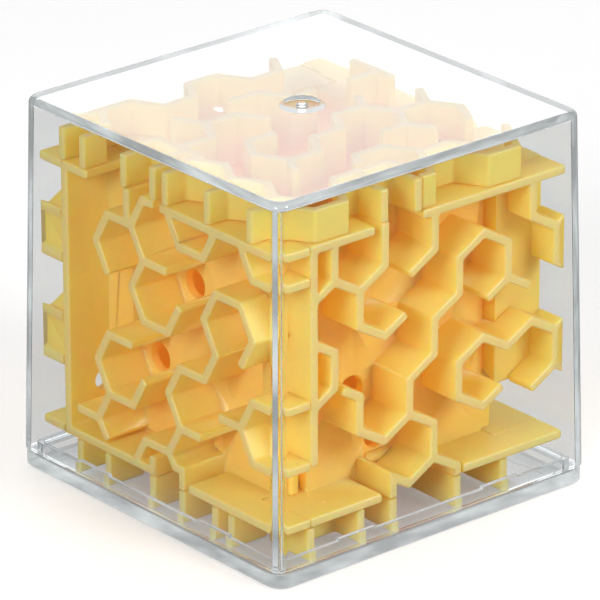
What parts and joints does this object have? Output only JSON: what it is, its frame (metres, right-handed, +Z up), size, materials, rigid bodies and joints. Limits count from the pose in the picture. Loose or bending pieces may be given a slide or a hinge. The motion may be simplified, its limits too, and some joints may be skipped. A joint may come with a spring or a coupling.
{
  "type": "tilt maze cube",
  "caption": "Hand-held cube puzzle: a ball rolls through hexagon-walled grooves on all faces of a moulded core inside a clear lift-off case.",
  "frame": {"origin": "middle of the tray's flat underside", "axes": "+Z up; the four upright faces are square to X and Y, and the two faces nearest the camera look along -X (front left) and -Y (front right)"},
  "size_m": [0.08, 0.08, 0.08],
  "materials": {
    "clear_plastic": "clear, polished",
    "yellow_plastic": "satin, slightly translucent",
    "polished_steel": "polished"
  },
  "bodies": {
    "base": {"base_tray": "clear_plastic"},
    "core": {"front_left_panel": "yellow_plastic", "front_right_panel": "yellow_plastic", "back_left_panel": "yellow_plastic", "back_right_panel": "yellow_plastic", "top_panel": "yellow_plastic", "bottom_panel": "yellow_plastic"},
    "hood": {"clear_hood": "clear_plastic"},
    "ball": {"steel_ball": "polished_steel"}
  },
  "joints": [
    {"name": "core_lift", "type": "slide", "parent": "base", "child": "core", "axis": [0, 0, 1], "range_m": [0, 0.08]},
    {"name": "hood_lift", "type": "slide", "parent": "core", "child": "hood", "axis": [0, 0, 1], "range_m": [0, 0.08]},
    {"name": "ball_roll", "type": "slide", "parent": "core", "child": "ball", "axis": [0, 1, 0], "range_m": [-0.019, 0.0015]}
  ]
}
